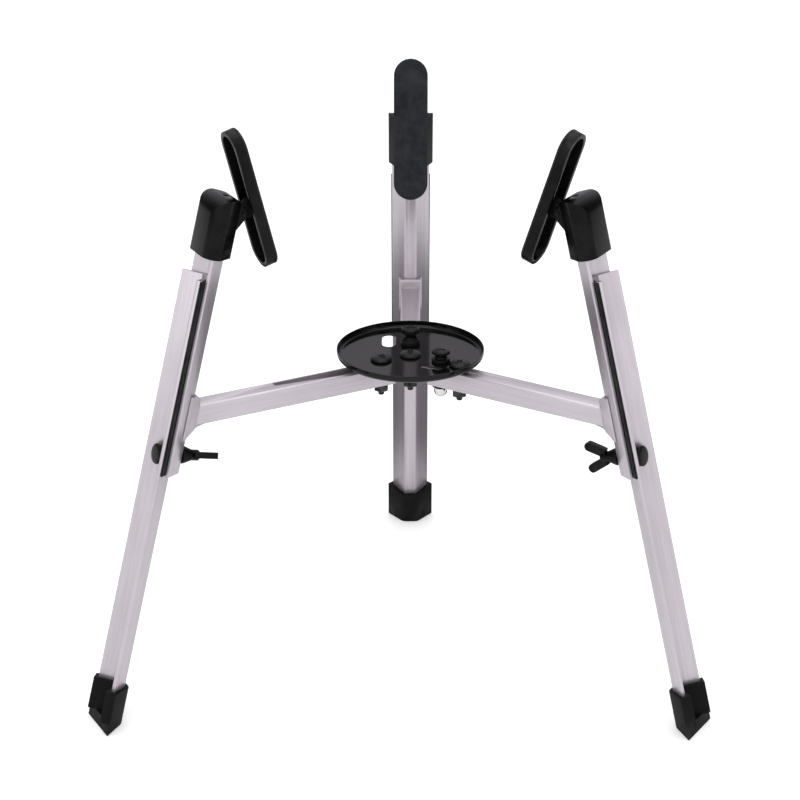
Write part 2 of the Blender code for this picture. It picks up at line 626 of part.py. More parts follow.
def build():
    hub = empty("hub", None, move(HUB_X, HUB_Y, 0))
    tray_holes = []
    slot = slab("tray_slot", [stadium(0.033, 0.0145, 6)], TRAY_UNDER - 0.01, TRAY_TOP, cutter=True)
    tray_holes.append(place(slot, hub, move(-0.022, 0.0355, 0)))
    small = slab("tray_small_slot", [stadium(0.023, 0.0055, 5)], TRAY_UNDER - 0.01, TRAY_TOP, cutter=True)
    tray_holes.append(place(small, hub, move(0.021, -0.0358, 0) @ turn("Z", radians(70))))
    for side, (azimuth, reach, pivot, inner, lean) in SIDES.items():
        arm = empty(side + "_arm_axis", hub, turn("Z", azimuth) @ move(pivot, 0, 0))
        leg = empty(side + "_leg_line", arm, move(FOOT_RADIUS + reach - pivot, 0, 0) @ turn("Y", -LEG_LEAN))
        clamp = empty(side + "_clamp_axis", leg, move(0, 0, CLAMP_U) @ turn("Y", -pi / 2))
        pad_turn = Matrix(((0, 0, 1, 0), (1, 0, 0, 0), (0, 1, 0, 0), (0, 0, 0, 1)))
        pad = empty(side + "_pad_axis", leg,
                    move(-NEST - PIN_IN, 0, PIN_U) @ turn("Y", LEG_LEAN + lean) @ pad_turn)
        hole = rod("clamp_hole_" + side, CLAMP_R + FIT, -0.0015, 0.03, 20, cutter=True)
        place(hole, clamp)
        spots = {"rear": [CENTRE_BOLT_R, REAR_KNOB_R], "left": [pivot], "right": [pivot, LOCK_R]}[side]
        holes = []
        for number, spot in enumerate(spots):
            name = "%s_screw_hole_%d" % (side, number)
            tray_holes.append(drill(name, arm, spot - pivot, 0, SCREW_R + FIT, TRAY_UNDER - 0.002, TRAY_TOP))
            if side == "right" and spot == LOCK_R:
                continue
            low = ARM_TOP - 0.006 if spot == REAR_KNOB_R else ARM_BOTTOM - 0.005
            holes.append(drill(name + "_arm", arm, spot - pivot, 0, SCREW_R + FIT, low, ARM_TOP + 0.002))
        if side == "left":
            holes.append(free_slot(arm, pivot))
        if side == "right":
            holes.append(hook_slot(arm, pivot))
        make_arm(side, arm, leg, pivot, inner, holes)
        make_saddle(side, leg)
        make_post(side, leg, hole)
        make_liner(side, leg, hole)
        make_lower_leg(side, leg)
        make_boot(side, leg)
        make_cap(side, leg)
        make_pad(side, pad)
        make_clamp(side, clamp)
        fixed = empty(side + "_fittings", hub, turn("Z", azimuth))
        bolt_radius = CENTRE_BOLT_R if side == "rear" else pivot
        make_fitting("centre" if side == "rear" else side + "_pivot", fixed, bolt_radius)
        make_spacer(side + "_spacer", fixed, bolt_radius)
        if side == "rear":
            make_knob("rear_knob", fixed, REAR_KNOB_R, 0.0100, 0.0168, ARM_TOP - 0.005)
        if side == "right":
            tail = make_lock(fixed)
            make_knob("right_lock_knob", fixed, LOCK_R, 0.0095, 0.0115, tail)
    make_tray(hub, tray_holes)


build()
bpy.context.view_layer.update()
for part in PARTS.objects:
    part.data.shade_smooth()
    part.data.set_sharp_from_angle(angle=radians(35))
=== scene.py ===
"""Finished look of the folding instrument stand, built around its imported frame."""
import json
from math import atan2, cos, pi, radians, sin

import bmesh
import bpy
from mathutils import Matrix, Vector


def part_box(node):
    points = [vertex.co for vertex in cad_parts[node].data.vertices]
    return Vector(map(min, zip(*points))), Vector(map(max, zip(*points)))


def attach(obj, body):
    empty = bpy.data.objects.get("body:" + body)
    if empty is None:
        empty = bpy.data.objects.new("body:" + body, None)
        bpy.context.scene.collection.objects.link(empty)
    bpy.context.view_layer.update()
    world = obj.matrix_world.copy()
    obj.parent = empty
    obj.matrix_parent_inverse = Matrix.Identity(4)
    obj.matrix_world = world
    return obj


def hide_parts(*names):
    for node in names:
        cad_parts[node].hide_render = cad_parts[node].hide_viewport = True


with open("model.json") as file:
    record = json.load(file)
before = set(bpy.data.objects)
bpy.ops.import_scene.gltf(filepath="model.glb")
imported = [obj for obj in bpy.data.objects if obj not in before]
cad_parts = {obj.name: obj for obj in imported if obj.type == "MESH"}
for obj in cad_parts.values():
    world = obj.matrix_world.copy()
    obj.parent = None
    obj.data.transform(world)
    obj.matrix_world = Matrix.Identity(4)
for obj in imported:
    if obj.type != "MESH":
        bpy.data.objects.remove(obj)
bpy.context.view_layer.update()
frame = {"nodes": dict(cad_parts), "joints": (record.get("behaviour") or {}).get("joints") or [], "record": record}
JOINTS = {joint["name"]: joint for joint in frame["joints"]}
BODY_OF = {node: body for body, nodes in frame["record"]["behaviour"]["bodies"].items() for node in nodes}
SLOT_OF = {row["node"]: row["material_slot"] for row in frame["record"]["subparts"]}
SIDES = ("rear", "left", "right")

# ---- sizes that the frame doesn't state, in metres ----------------------------------------------
NEST = 0.0097                    # post web inside the lower leg's web
NUT_POINT = 0.0150               # the wing nut's joint point, inside the post's web
CLAMP_U = 0.2905                 # clamp screw along the leg
SADDLE_T = 0.0048                # thickness of the bracket on the post
PAD_RISE = 0.0090                # pad's middle above its pin
PAD_FACE = 0.0190                # pad's face from its pin
PAD_RUBBER = 0.0023
PAD_LEN = 0.1454
PAD_W = 0.0350
SCREW_R = 0.0030
PITCH = 0.0010
SHEET = 0.0012                   # tray's sheet
TRAY_CORNER = 0.0035             # inside bend between its floor and its rim
SEAT_GAP = 0.0003                # between the tray's floor and what stands on it
SCREW_HOLE = 0.0064
SLOT = {"length": 0.0330, "width": 0.0145, "x": -0.022, "y": 0.0355, "turn": 0.0}
SMALL_SLOT = {"length": 0.0230, "width": 0.0055, "x": 0.021, "y": -0.0358, "turn": 70.0}
SCREW_RANGE = (0.0005, 0.0255)   # threaded stretch of the clamp screw, from the post's web
BEAD_CORNER = 0.0018
BEAD_HALF = 0.0096               # half width of the weld's path
BEAD_STEP = 0.00085
BEAD_R = 0.0011
KNOB_RIBS = 30
KNOB_BREAK = 0.0005              # broken edge of a knob's lower disc
WELD = 0.000004                  # points closer than this are one

# ---- view and light -------------------------------------------------------------------------------
LENS = 114.1
CAMERA_PLACE = (0.0, -2.383, 1.328)      # from the tray's middle, on the floor
CAMERA_PITCH = 23.645                    # degrees below level
CAMERA_YAW = 0.253
FLOOR_REACH = 14.0
PAPER = (0.97, 0.97, 0.97)
PAINTED_REFLECTION = (0.030, 0.027, 0.035)            # painted dark reflection: what polished faces see of the floor behind the stand
PAINTED_REFLECTION_SPOT = (0.36, 0.34, 0.0)           # middle of that painted reflection on either side
PAINTED_REFLECTION_EDGE = (0.22, 0.38)                # distances at which the painted reflection starts and has faded out
PAPER_GLOW = 0.30
ROOM = (0.985, 0.985, 1.0)
ROOM_BACK = (0.60, 0.57, 0.62)
ROOM_SIDES = (0.050, 0.045, 0.055)
ROOM_STRENGTH = 1.08


# ================================ shader writing ==================================================
class Value:
    """A socket that takes part in sums and products."""

    def __init__(self, tree, socket):
        self.tree = tree
        self.socket = socket

    def math(self, operation, *others):
        return make(self.tree, "ShaderNodeMath", {"operation": operation}, {
            i: other for i, other in enumerate((self,) + others)})

    def __add__(self, other):
        return self.math("ADD", other)

    def __mul__(self, other):
        return self.math("MULTIPLY", other)

    def __sub__(self, other):
        return self.math("SUBTRACT", other)

    def __rsub__(self, other):
        return make(self.tree, "ShaderNodeMath", {"operation": "SUBTRACT"}, {0: other, 1: self})

    def clip(self, low, high):
        """0 below low, 1 above high, straight between."""
        return make(self.tree, "ShaderNodeMapRange", {"clamp": True},
                    {"Value": self, "From Min": low, "From Max": high})


def make(tree, kind, settings=None, sockets=None, output=0):
    """One node: its settings first, then the values or links of its sockets."""
    node = tree.nodes.new(kind)
    for name, value in (settings or {}).items():
        setattr(node, name, value)
    for name, value in (sockets or {}).items():
        if isinstance(value, Value):
            tree.links.new(value.socket, node.inputs[name])
        else:
            node.inputs[name].default_value = value
    return Value(tree, node.outputs[output])


def mix(tree, factor, first, second):
    """Colour between two others."""
    node = tree.nodes.new("ShaderNodeMix")
    node.data_type = "RGBA"
    tree.links.new(factor.socket, node.inputs["Factor"])
    for slot, colour in (("A", first), ("B", second)):
        socket = next(s for s in node.inputs if s.name == slot and s.type == "RGBA")
        if isinstance(colour, Value):
            tree.links.new(colour.socket, socket)
        else:
            socket.default_value = (*colour, 1.0)
    return Value(tree, next(s for s in node.outputs if s.type == "RGBA"))


class Finish:
    """A material under way: its tree, its Principled shader and its object coordinates."""

    def __init__(self, name, rough, metal=0.0, **constants):
        self.material = bpy.data.materials.new(name)
        self.material.use_nodes = True
        self.tree = self.material.node_tree
        self.shader = self.tree.nodes["Principled BSDF"]
        self.shader.inputs["Roughness"].default_value = rough
        self.shader.inputs["Metallic"].default_value = metal
        for key, value in constants.items():
            self.shader.inputs[key.replace("_", " ")].default_value = value
        self.place = make(self.tree, "ShaderNodeTexCoord", output=3)

    def along(self, direction, stretch):
        """Coordinates squeezed along one direction, so that a pattern becomes streaks."""
        turn = Vector(direction).to_track_quat("Z", "X").inverted().to_euler()
        turned = make(self.tree, "ShaderNodeMapping", {"vector_type": "POINT"},
                      {"Vector": self.place, "Rotation": turn})
        return make(self.tree, "ShaderNodeVectorMath", {"operation": "MULTIPLY"},
                    {0: turned, 1: (1.0, 1.0, 1.0 / stretch)})

    def noise(self, scale, detail=3.0, where=None, rough=0.55):
        return make(self.tree, "ShaderNodeTexNoise", None,
                    {"Vector": where or self.place, "Scale": scale, "Detail": detail, "Roughness": rough})

    def cells(self, scale):
        return make(self.tree, "ShaderNodeTexVoronoi", None, {"Vector": self.place, "Scale": scale})

    def edges(self):
        """How strongly the surface is an outward edge."""
        pointed = make(self.tree, "ShaderNodeNewGeometry", output=7)
        return pointed.clip(0.52, 0.60)

    def feed(self, socket, value):
        self.tree.links.new(value.socket, self.shader.inputs[socket])

    def bump(self, height, strength, distance):
        node = make(self.tree, "ShaderNodeBump", None,
                    {"Height": height, "Strength": strength, "Distance": distance})
        self.feed("Normal", node)


def satin_aluminium(name, direction):
    """Drawn and anodised aluminium: fine lengthwise lines, a faint warm cast, soft smudges."""
    f = Finish(name, 0.34, 0.78)
    lines = f.noise(900.0, 4.0, f.along(direction, 60.0))
    wide = f.noise(160.0, 2.0, f.along(direction, 40.0))
    smudge = f.noise(9.0, 4.0)
    tone = (lines * 0.35 + wide * 0.25 + smudge * 0.4).clip(0.36, 0.64)
    f.feed("Base Color", mix(f.tree, tone, (0.560, 0.505, 0.548), (0.700, 0.655, 0.698)))
    f.feed("Roughness", smudge * 0.12 + lines * 0.14 + 0.21)
    f.bump(lines * 0.7 + wide * 0.3, 0.16, 0.00012)
    return f.material


def welded_aluminium():
    """Bracket and bead: the same metal, blasted, with heat tint near the weld."""
    f = Finish("welded_aluminium", 0.42, 0.75)
    blasted = f.noise(1500.0, 3.0)
    cloud = f.noise(38.0, 4.0)
    f.feed("Base Color", mix(f.tree, cloud.clip(0.35, 0.68), (0.470, 0.420, 0.455), (0.600, 0.555, 0.590)))
    f.feed("Roughness", blasted * 0.16 + cloud * 0.12 + 0.27)
    f.bump(blasted, 0.22, 0.00014)
    return f.material


def moulded_plastic():
    """Black moulding with a fine spark-eroded grain, greyer on its handled edges."""
    f = Finish("moulded_black_plastic", 0.30, 0.0, Specular_IOR_Level=0.13)
    grain = f.noise(2600.0, 2.0)
    cloud = f.noise(42.0, 4.0)
    worn = f.edges() * cloud.clip(0.40, 0.62)
    dark = mix(f.tree, cloud.clip(0.35, 0.7), (0.0022, 0.0022, 0.0026), (0.0046, 0.0046, 0.0050))
    f.feed("Base Color", mix(f.tree, worn * 0.5, dark, (0.034, 0.034, 0.036)))
    f.feed("Roughness", cloud * 0.14 + grain * 0.08 + 0.17)
    f.bump(grain, 0.20, 0.00010)
    return f.material


def tray_lacquer():
    """Glossy black tray with an almost mirror floor, faint haze and dust."""
    f = Finish("tray_lacquer", 0.10, 0.0, Coat_Roughness=0.04, Specular_IOR_Level=0.22)
    haze = f.noise(26.0, 5.0)
    dust = f.cells(620.0)
    specks = (1.0 - dust.clip(0.02, 0.10)) * haze.clip(0.55, 0.72)
    f.feed("Base Color", mix(f.tree, specks * 0.35, (0.0040, 0.0042, 0.0034), (0.05, 0.05, 0.046)))
    f.feed("Roughness", haze * 0.09 + specks * 0.3 + 0.05)
    f.feed("Coat Weight", haze * 0.10 + 0.03)
    f.bump(f.noise(420.0, 2.0), 0.05, 0.00010)
    return f.material


def shoe_rubber():
    """Matt black rubber of the feet, with scuffs that are greyer low down."""
    f = Finish("shoe_rubber", 0.55, 0.0, Specular_IOR_Level=0.12)
    grain = f.noise(1900.0, 3.0)
    scuff = f.noise(70.0, 5.0, f.along((0.3, 0.2, 1.0), 4.0))
    height = make(f.tree, "ShaderNodeSeparateXYZ", None, {"Vector": f.place}, 2)
    low = 1.0 - height.clip(0.002, 0.030)
    worn = scuff.clip(0.52, 0.72) * (low * 0.7 + 0.15) + f.edges() * 0.25
    f.feed("Base Color", mix(f.tree, worn.clip(0.0, 1.0), (0.0024, 0.0024, 0.0026), (0.024, 0.023, 0.022)))
    f.feed("Roughness", grain * 0.14 + scuff * 0.12 + 0.42)
    f.bump(grain * 0.7 + scuff * 0.3, 0.30, 0.00016)
    return f.material


def pad_rubber_finish():
    """Bluish grey pad facing: mottled, dusty, with the fine pores of cellular rubber."""
    f = Finish("pad_rubber_grey", 0.74, 0.0, Specular_IOR_Level=0.10)
    cloud = f.noise(34.0, 5.0)
    blotch = f.noise(120.0, 4.0)
    pores = f.cells(1500.0)
    tone = (cloud * 0.55 + blotch * 0.45).clip(0.38, 0.64)
    base = mix(f.tree, tone, (0.0130, 0.0145, 0.0170), (0.0300, 0.0330, 0.0370))
    f.feed("Base Color", mix(f.tree, f.edges() * 0.35, base, (0.085, 0.088, 0.092)))
    f.feed("Roughness", blotch * 0.14 + 0.62)
    f.bump(pores * 0.6 + blotch * 0.4, 0.35, 0.00020)
    return f.material


def blacked_steel():
    """Black-oxide screws and nuts with bright metal just showing on their edges."""
    f = Finish("blacked_steel", 0.34, 0.35, Specular_IOR_Level=0.2)
    cloud = f.noise(95.0, 4.0)
    fine = f.noise(1400.0, 2.0)
    worn = f.edges() * cloud.clip(0.44, 0.62)
    f.feed("Base Color", mix(f.tree, worn * 0.6, (0.0070, 0.0070, 0.0078), (0.16, 0.15, 0.15)))
    f.feed("Roughness", cloud * 0.18 + fine * 0.08 + 0.18)
    f.bump(fine, 0.12, 0.00008)
    return f.material


def polished_steel():
    """Bright plated acorn nut."""
    f = Finish("polished_steel", 0.12, 1.0)
    cloud = f.noise(140.0, 4.0)
    f.feed("Base Color", mix(f.tree, cloud.clip(0.3, 0.7), (0.74, 0.74, 0.75), (0.86, 0.86, 0.87)))
    f.feed("Roughness", cloud * 0.12 + 0.07)
    f.bump(f.noise(900.0, 2.0), 0.05, 0.00006)
    return f.material


# ================================ making pieces ===================================================
def apply_modifiers(obj):
    """Turn what the modifiers show into a plain mesh on the object."""
    bpy.context.view_layer.update()
    shown = obj.evaluated_get(bpy.context.evaluated_depsgraph_get())
    mesh = bpy.data.meshes.new_from_object(shown)
    old = obj.data
    obj.modifiers.clear()
    obj.data = mesh
    bpy.data.meshes.remove(old)
    return obj


def add_object(name, mesh):
    obj = bpy.data.objects.new(name, mesh)
    bpy.context.scene.collection.objects.link(obj)
    return obj


def smooth(obj, angle=32):
    obj.data.shade_smooth()
    obj.data.set_sharp_from_angle(angle=radians(angle))
    return obj


def settle(obj, body, slot, material, *nodes):
    """Give a finished piece its material and its body, and hide the frame nodes that it stands for."""
    obj.data.materials.clear()
    obj.data.materials.append(material)
    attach(obj, body)
    if nodes:
        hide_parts(*nodes)
    return obj


def dressed(node, material, width, segments=2):
    """A node's shape with its raw edges broken, in its own finish."""
    mesh = frame["nodes"][node].data.copy()
    work = bmesh.new()
    work.from_mesh(mesh)
    bmesh.ops.remove_doubles(work, verts=work.verts, dist=WELD)
    bmesh.ops.dissolve_limit(work, angle_limit=radians(0.4), verts=work.verts, edges=work.edges)
    work.to_mesh(mesh)
    work.free()
    obj = add_object(node + "_finished", mesh)
    edge = obj.modifiers.new("broken_edges", "BEVEL")
    edge.width = width
    edge.segments = segments
    edge.limit_method = "ANGLE"
    edge.angle_limit = radians(32)
    edge.harden_normals = False
    edge.use_clamp_overlap = True
    apply_modifiers(obj)
    smooth(obj, 30)
    return settle(obj, BODY_OF[node], SLOT_OF[node], material, node)


def lathe(name, profile, steps, matrix=None):
    """Turned piece from a profile that runs down its outer side."""
    mesh = bpy.data.meshes.new(name)
    mesh.from_pydata([(r, 0.0, z) for r, z in profile], [(i, i + 1) for i in range(len(profile) - 1)], [])
    obj = add_object(name, mesh)
    screw = obj.modifiers.new("turn", "SCREW")
    screw.steps = steps
    screw.render_steps = steps
    screw.use_merge_vertices = True
    screw.merge_threshold = 0.000005
    apply_modifiers(obj)
    work = bmesh.new()
    work.from_mesh(obj.data)
    bmesh.ops.remove_doubles(work, verts=work.verts, dist=0.000002)
    bmesh.ops.recalc_face_normals(work, faces=work.faces)
    work.to_mesh(obj.data)
    work.free()
    if matrix is not None:
        obj.data.transform(matrix)
    return smooth(obj)


def arc(centre, radius, start, end, steps):
    return [(centre[0] + radius * cos(start + (end - start) * k / steps),
             centre[1] + radius * sin(start + (end - start) * k / steps)) for k in range(steps + 1)]


def centre_of(node):
    low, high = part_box(node)
    return (low + high) / 2


def basis(origin, x, y, z):
    matrix = Matrix((x, y, z)).transposed().to_4x4()
    matrix.translation = origin
    return matrix


def leg_frame(side):
    """Matrix of a leg's own frame: X outward, Y tangential, Z up the leg from the floor."""
    up = -Vector(JOINTS[side + "_leg_slide"]["axis"]).normalized()
    across = Vector(JOINTS[side + "_pad_tilt"]["axis"]).normalized()
    out = across.cross(up).normalized()
    nut = Vector(JOINTS[side + "_wing_nut_turn"]["pos_m"])
    origin = nut + out * (NEST + NUT_POINT) - up * CLAMP_U
    return basis(origin, out, across, up)


def pad_frame(side):
    """Matrix of a pad's own frame on its pin: X across, Y up the pad, Z away from its face."""
    pin = Vector(JOINTS[side + "_pad_tilt"]["pos_m"])
    across = Vector(JOINTS[side + "_pad_tilt"]["axis"]).normalized()
    face = next(m for m in frame["record"]["mounts"] if m["name"] == side + "_pad_face")
    back = -Vector(face["axis"]).normalized()
    return basis(pin, across, back.cross(across).normalized(), back)


# ---- geometry nodes -------------------------------------------------------------------------------
def node_tree(name, inputs):
    """Empty geometry tree with the named inputs; returns the tree, its input and output nodes."""
    tree = bpy.data.node_groups.new(name, "GeometryNodeTree")
    tree.interface.new_socket("Geometry", in_out="INPUT", socket_type="NodeSocketGeometry")
    for label, kind in inputs.items():
        tree.interface.new_socket(label, in_out="INPUT", socket_type=kind)
    tree.interface.new_socket("Geometry", in_out="OUTPUT", socket_type="NodeSocketGeometry")
    return tree, tree.nodes.new("NodeGroupInput"), tree.nodes.new("NodeGroupOutput")


def run_tree(obj, tree, values):
    """Run a geometry tree on the object with its inputs set, and keep the plain mesh."""
    modifier = obj.modifiers.new("build", "NODES")
    modifier.node_group = tree
    identifiers = {item.name: item.identifier for item in tree.interface.items_tree
                   if item.item_type == "SOCKET" and item.in_out == "INPUT"}
    for label, value in values.items():
        modifier[identifiers[label]] = value
    return apply_modifiers(obj)


def bead_tree():
    """Overlapping weld ripples along a path: flattened drops set square to it."""
    tree, start, end = node_tree("weld_bead", {
        "Spacing": "NodeSocketFloat", "Radius": "NodeSocketFloat", "Metal": "NodeSocketMaterial"})
    link = tree.links.new
    to_curve = tree.nodes.new("GeometryNodeMeshToCurve")
    link(start.outputs["Geometry"], to_curve.inputs["Mesh"])
    points = tree.nodes.new("GeometryNodeCurveToPoints")
    points.mode = "LENGTH"
    link(to_curve.outputs["Curve"], points.inputs["Curve"])
    link(start.outputs["Spacing"], points.inputs["Length"])
    drop = tree.nodes.new("GeometryNodeMeshUVSphere")
    drop.inputs["Segments"].default_value = 12
    drop.inputs["Rings"].default_value = 7
    link(start.outputs["Radius"], drop.inputs["Radius"])
    uneven = tree.nodes.new("FunctionNodeRandomValue")
    uneven.data_type = "FLOAT"
    low, high = [s for s in uneven.inputs if s.name in ("Min", "Max") and s.type == "VALUE"][:2]
    low.default_value = 0.86
    high.default_value = 1.12
    uneven.inputs["Seed"].default_value = 7
    place = tree.nodes.new("GeometryNodeInstanceOnPoints")
    link(points.outputs["Points"], place.inputs["Points"])
    link(drop.outputs["Mesh"], place.inputs["Instance"])
    link(points.outputs["Rotation"], place.inputs["Rotation"])
    size = next(s for s in uneven.outputs if s.type == "VALUE" and s.enabled)
    link(size, place.inputs["Scale"])
    real = tree.nodes.new("GeometryNodeRealizeInstances")
    link(place.outputs["Instances"], real.inputs["Geometry"])
    metal = tree.nodes.new("GeometryNodeSetMaterial")
    link(real.outputs["Geometry"], metal.inputs["Geometry"])
    link(start.outputs["Metal"], metal.inputs["Material"])
    link(metal.outputs["Geometry"], end.inputs["Geometry"])
    return tree


def rib_tree():
    """Upright ribs round a knob's disc: small rounded bars on a circle."""
    tree, start, end = node_tree("knob_ribs", {
        "Count": "NodeSocketInt", "Radius": "NodeSocketFloat", "Height": "NodeSocketFloat",
        "Width": "NodeSocketFloat", "Plastic": "NodeSocketMaterial"})
    link = tree.links.new
    ring = tree.nodes.new("GeometryNodeMeshCircle")
    link(start.outputs["Count"], ring.inputs["Vertices"])
    link(start.outputs["Radius"], ring.inputs["Radius"])
    bar = tree.nodes.new("GeometryNodeMeshCylinder")
    bar.inputs["Vertices"].default_value = 8
    link(start.outputs["Width"], bar.inputs["Radius"])
    link(start.outputs["Height"], bar.inputs["Depth"])
    place = tree.nodes.new("GeometryNodeInstanceOnPoints")
    link(ring.outputs["Mesh"], place.inputs["Points"])
    link(bar.outputs["Mesh"], place.inputs["Instance"])
    real = tree.nodes.new("GeometryNodeRealizeInstances")
    link(place.outputs["Instances"], real.inputs["Geometry"])
    skin = tree.nodes.new("GeometryNodeSetMaterial")
    link(real.outputs["Geometry"], skin.inputs["Geometry"])
    link(start.outputs["Plastic"], skin.inputs["Material"])
    link(skin.outputs["Geometry"], end.inputs["Geometry"])
    return tree


def weld_bead(side, tree, metal):
    """Bead round the arm's outer end, where it meets the bracket."""
    leg = leg_frame(side)
    plane = -NEST - SADDLE_T
    low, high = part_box(side + "_arm")
    half = (high.z - low.z) / 2
    lean = atan2(leg.col[0][2], Vector(leg.col[0][:2]).length)
    middle_u = ((low.z + high.z) / 2 - plane * sin(lean)) / cos(lean)
    tall = half / cos(lean)
    wide = min(half, BEAD_HALF)
    path = []
    for quarter, (x_sign, y_sign) in enumerate(((1, 1), (-1, 1), (-1, -1), (1, -1))):
        centre = (x_sign * (wide - BEAD_CORNER), y_sign * (tall - BEAD_CORNER))
        path += arc(centre, BEAD_CORNER, quarter * pi / 2, (quarter + 1) * pi / 2, 3)
    verts = [leg @ Vector((plane - 0.0004, t, middle_u + u)) for t, u in path]
    mesh = bpy.data.meshes.new(side + "_weld_path")
    count = len(verts)
    mesh.from_pydata([tuple(v) for v in verts], [(i, (i + 1) % count) for i in range(count)], [])
    obj = add_object(side + "_weld_bead", mesh)
    run_tree(obj, tree, {"Spacing": BEAD_STEP, "Radius": BEAD_R, "Metal": metal})
    smooth(obj, 60)
    settle(obj, BODY_OF[side + "_arm"], "aluminium", metal)


def screw_thread(name, matrix, low, high, radius, body, material):
    """Helical ridge on a screw."""
    turns = max(1, round((high - low) / PITCH))
    mesh = bpy.data.meshes.new(name)
    root = radius - 0.0002
    crest = radius + 0.00012
    ridge = [(root, 0, low + PITCH * 0.9), (crest, 0, low + PITCH * 0.55)]
    ridge += [(crest, 0, low + PITCH * 0.35), (root, 0, low)]
    mesh.from_pydata(ridge, [(0, 1), (1, 2), (2, 3), (3, 0)], [])
    obj = add_object(name, mesh)
    screw = obj.modifiers.new("helix", "SCREW")
    screw.steps = 20
    screw.render_steps = 20
    screw.screw_offset = PITCH
    screw.iterations = max(1, turns - 1)
    screw.use_merge_vertices = False
    apply_modifiers(obj)
    work = bmesh.new()
    work.from_mesh(obj.data)
    open_edges = [edge for edge in work.edges if edge.is_boundary]
    bmesh.ops.holes_fill(work, edges=open_edges, sides=8)
    bmesh.ops.recalc_face_normals(work, faces=work.faces)
    work.to_mesh(obj.data)
    work.free()
    obj.data.transform(matrix)
    smooth(obj, 40)
    return settle(obj, body, "black_steel", material)


def pad_facing(side, material):
    """Rubber facing: a stadium whose face is faintly crowned and whose rim rolls over."""
    # inset from the outline, and height over the face's middle (negative Z is the face)
    rows = [(0.0, PAD_RUBBER), (0.00005, 0.0012), (0.00025, 0.0007), (0.00065, 0.00032)]
    rows += [(0.00120, 0.00014), (0.0040, 0.00006), (0.0090, 0.00001), (0.0150, 0.0)]
    steps = 28
    work = bmesh.new()
    rings = []
    for inset, rise in rows:
        depth = -PAD_FACE + rise
        radius = PAD_W / 2 - inset
        reach = (PAD_LEN - PAD_W) / 2
        outline = [(x, y + reach) for x, y in arc((0, 0), radius, 0, pi, steps)]
        outline += [(x, y - reach) for x, y in arc((0, 0), radius, pi, 2 * pi, steps)]
        rings.append([work.verts.new((x, y + PAD_RISE, depth)) for x, y in outline])
    count = len(rings[0])
    for outer, inner in zip(rings, rings[1:]):
        for i in range(count):
            work.faces.new((outer[i], outer[(i + 1) % count], inner[(i + 1) % count], inner[i]))
    work.faces.new(rings[-1])
    work.faces.new(rings[0][::-1])
    bmesh.ops.recalc_face_normals(work, faces=work.faces)
    mesh = bpy.data.meshes.new(side + "_pad_facing")
    work.to_mesh(mesh)
    work.free()
    mesh.transform(pad_frame(side))
    obj = smooth(add_object(side + "_pad_facing", mesh), 50)
    settle(obj, side + "_pad", "grey_rubber", material, side + "_pad_rubber")


def tray_dish(material):
    """The round dish with its rolled rim; its openings repeat those of the frame's dish."""
    low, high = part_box("tray")
    hub = Vector(((low.x + high.x) / 2, (low.y + high.y) / 2, 0.0))
    radius = (high.x - low.x) / 2
    under, top = low.z, high.z
    floor = under + SHEET
    edge = radius - SHEET
    outer_r = TRAY_CORNER + SHEET
    profile = [(0.0, floor), (edge - TRAY_CORNER - 0.02, floor)]
    profile += arc((edge - TRAY_CORNER, floor + TRAY_CORNER), TRAY_CORNER, -pi / 2, 0, 8)
    profile += arc((radius - SHEET * 0.5, top - SHEET * 0.5), SHEET * 0.5, pi, 0, 8)
    profile += arc((edge - TRAY_CORNER, under + outer_r), outer_r, 0, -pi / 2, 8)
    profile += [(edge - TRAY_CORNER - 0.02, under), (0.0, under)]
    dish = lathe("tray_dish", profile, 160, Matrix.Translation(hub))
    right = Vector(JOINTS["right_arm_fold"]["pos_m"])
    left = Vector(JOINTS["left_arm_fold"]["pos_m"])
    lock = Vector(JOINTS["right_lock_spin"]["pos_m"])
    knob = Vector(JOINTS["rear_knob_spin"]["pos_m"])
    cutters = []
    for spot in (right, left, lock, knob, centre_of("centre_bolt")):
        cutters.append(opening(Matrix.Translation((spot.x, spot.y, under)), SCREW_HOLE, SCREW_HOLE))
    for slot in (SLOT, SMALL_SLOT):
        place = Matrix.Translation((hub.x + slot["x"], hub.y + slot["y"], under))
        place = place @ Matrix.Rotation(radians(slot["turn"]), 4, "Z")
        cutters.append(opening(place, slot["length"], slot["width"]))
    for cutter in cutters:
        cut = dish.modifiers.new("opening", "BOOLEAN")
        cut.object = cutter
        cut.operation = "DIFFERENCE"
    apply_modifiers(dish)
    for cutter in cutters:
        bpy.data.objects.remove(cutter, do_unlink=True)
    smooth(dish, 35)
    settle(dish, "stand", "tray_black", material, "tray")


def opening(matrix, length, width):
    """Upright cutter with round ends, long along its own Y."""
    reach = max((length - width) / 2, 0.0)
    outline = [(x, y + reach) for x, y in arc((0, 0), width / 2, 0, pi, 16)]
    outline += [(x, y - reach) for x, y in arc((0, 0), width / 2, pi, 2 * pi, 16)]
    work = bmesh.new()
    face = work.faces.new([work.verts.new((x, y, -0.004)) for x, y in outline])
    bmesh.ops.remove_doubles(work, verts=work.verts, dist=0.000002)
    up = bmesh.ops.extrude_face_region(work, geom=list(work.faces))
    tops = [v for v in up["geom"] if isinstance(v, bmesh.types.BMVert)]
    bmesh.ops.translate(work, verts=tops, vec=(0, 0, 0.009))
    bmesh.ops.recalc_face_normals(work, faces=work.faces)
    mesh = bpy.data.meshes.new("opening")
    work.to_mesh(mesh)
    work.free()
    mesh.transform(matrix)
    return add_object("opening", mesh)


